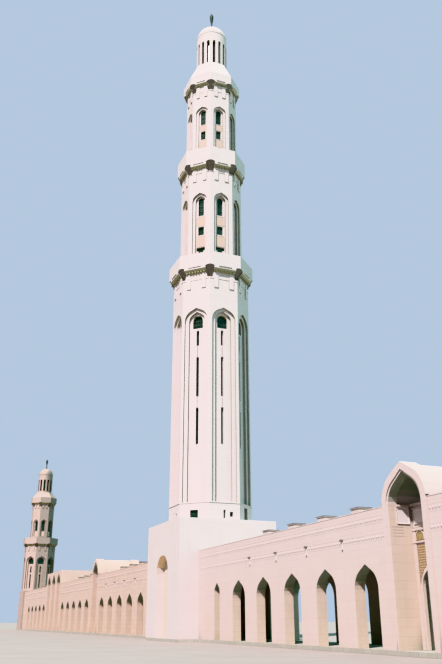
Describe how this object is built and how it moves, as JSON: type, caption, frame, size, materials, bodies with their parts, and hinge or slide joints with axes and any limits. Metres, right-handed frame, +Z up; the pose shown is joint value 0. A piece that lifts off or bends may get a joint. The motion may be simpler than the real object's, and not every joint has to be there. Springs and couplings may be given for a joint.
{
  "type": "mosque building, 1:10 scale model",
  "caption": "Tall octagonal stone minaret on a square block astride a long arcaded gallery with pointed portals and a smaller minaret at its far end.",
  "frame": {"origin": "on the ground, on the vertical axis of the tall minaret", "axes": "+X along the gallery towards its near end, -Y out of the outer face, +Y towards the courtyard, +Z up"},
  "size_m": [21.0227, 1.176, 9.15],
  "materials": {
    "tower_stone": "honed pale ivory limestone in regular courses",
    "gallery_stone": "honed ivory sandstone with a pink tinge, in regular courses",
    "paving_stone": "smooth stone paving",
    "bronze": "dark weathered bronze"
  },
  "bodies": {
    "root": {"base_block": "tower_stone", "base_block_roof": "tower_stone", "block_floor": "paving_stone", "corner_block": "tower_stone", "corner_floor": "paving_stone", "end_wing_court_wall": "gallery_stone", "end_wing_outer_wall": "gallery_stone", "end_wing_party_wall": "gallery_stone", "end_wing_roof": "gallery_stone", "far_floor": "paving_stone", "far_portal_screen": "gallery_stone", "far_portal_vault": "gallery_stone", "far_wing_court_wall": "gallery_stone", "far_wing_outer_wall": "gallery_stone", "far_wing_roof": "gallery_stone", "last_wing_court_wall": "gallery_stone", "last_wing_outer_wall": "gallery_stone", "last_wing_roof": "gallery_stone", "near_floor": "paving_stone", "near_portal_screen": "gallery_stone", "near_portal_vault": "gallery_stone", "near_wing_court_wall": "gallery_stone", "near_wing_outer_wall": "gallery_stone", "near_wing_roof": "gallery_stone", "second_wing_court_wall": "gallery_stone", "second_wing_outer_wall": "gallery_stone", "second_wing_roof": "gallery_stone", "small_minaret_balcony_1": "tower_stone", "small_minaret_balcony_2": "tower_stone", "small_minaret_dome": "tower_stone", "small_minaret_drum": "tower_stone", "small_minaret_finial": "bronze", "small_minaret_stage_1": "tower_stone", "small_minaret_stage_2": "tower_stone", "tall_minaret_balcony_1": "tower_stone", "tall_minaret_balcony_2": "tower_stone", "tall_minaret_balcony_3": "tower_stone", "tall_minaret_dome": "tower_stone", "tall_minaret_drum": "tower_stone", "tall_minaret_finial": "bronze", "tall_minaret_plinth": "tower_stone", "tall_minaret_stage_1": "tower_stone", "tall_minaret_stage_2": "tower_stone", "tall_minaret_stage_3": "tower_stone", "triple_portal_screen_1": "gallery_stone", "triple_portal_screen_2": "gallery_stone", "triple_portal_screen_3": "gallery_stone", "triple_portal_vault": "gallery_stone"}
  },
  "joints": []
}
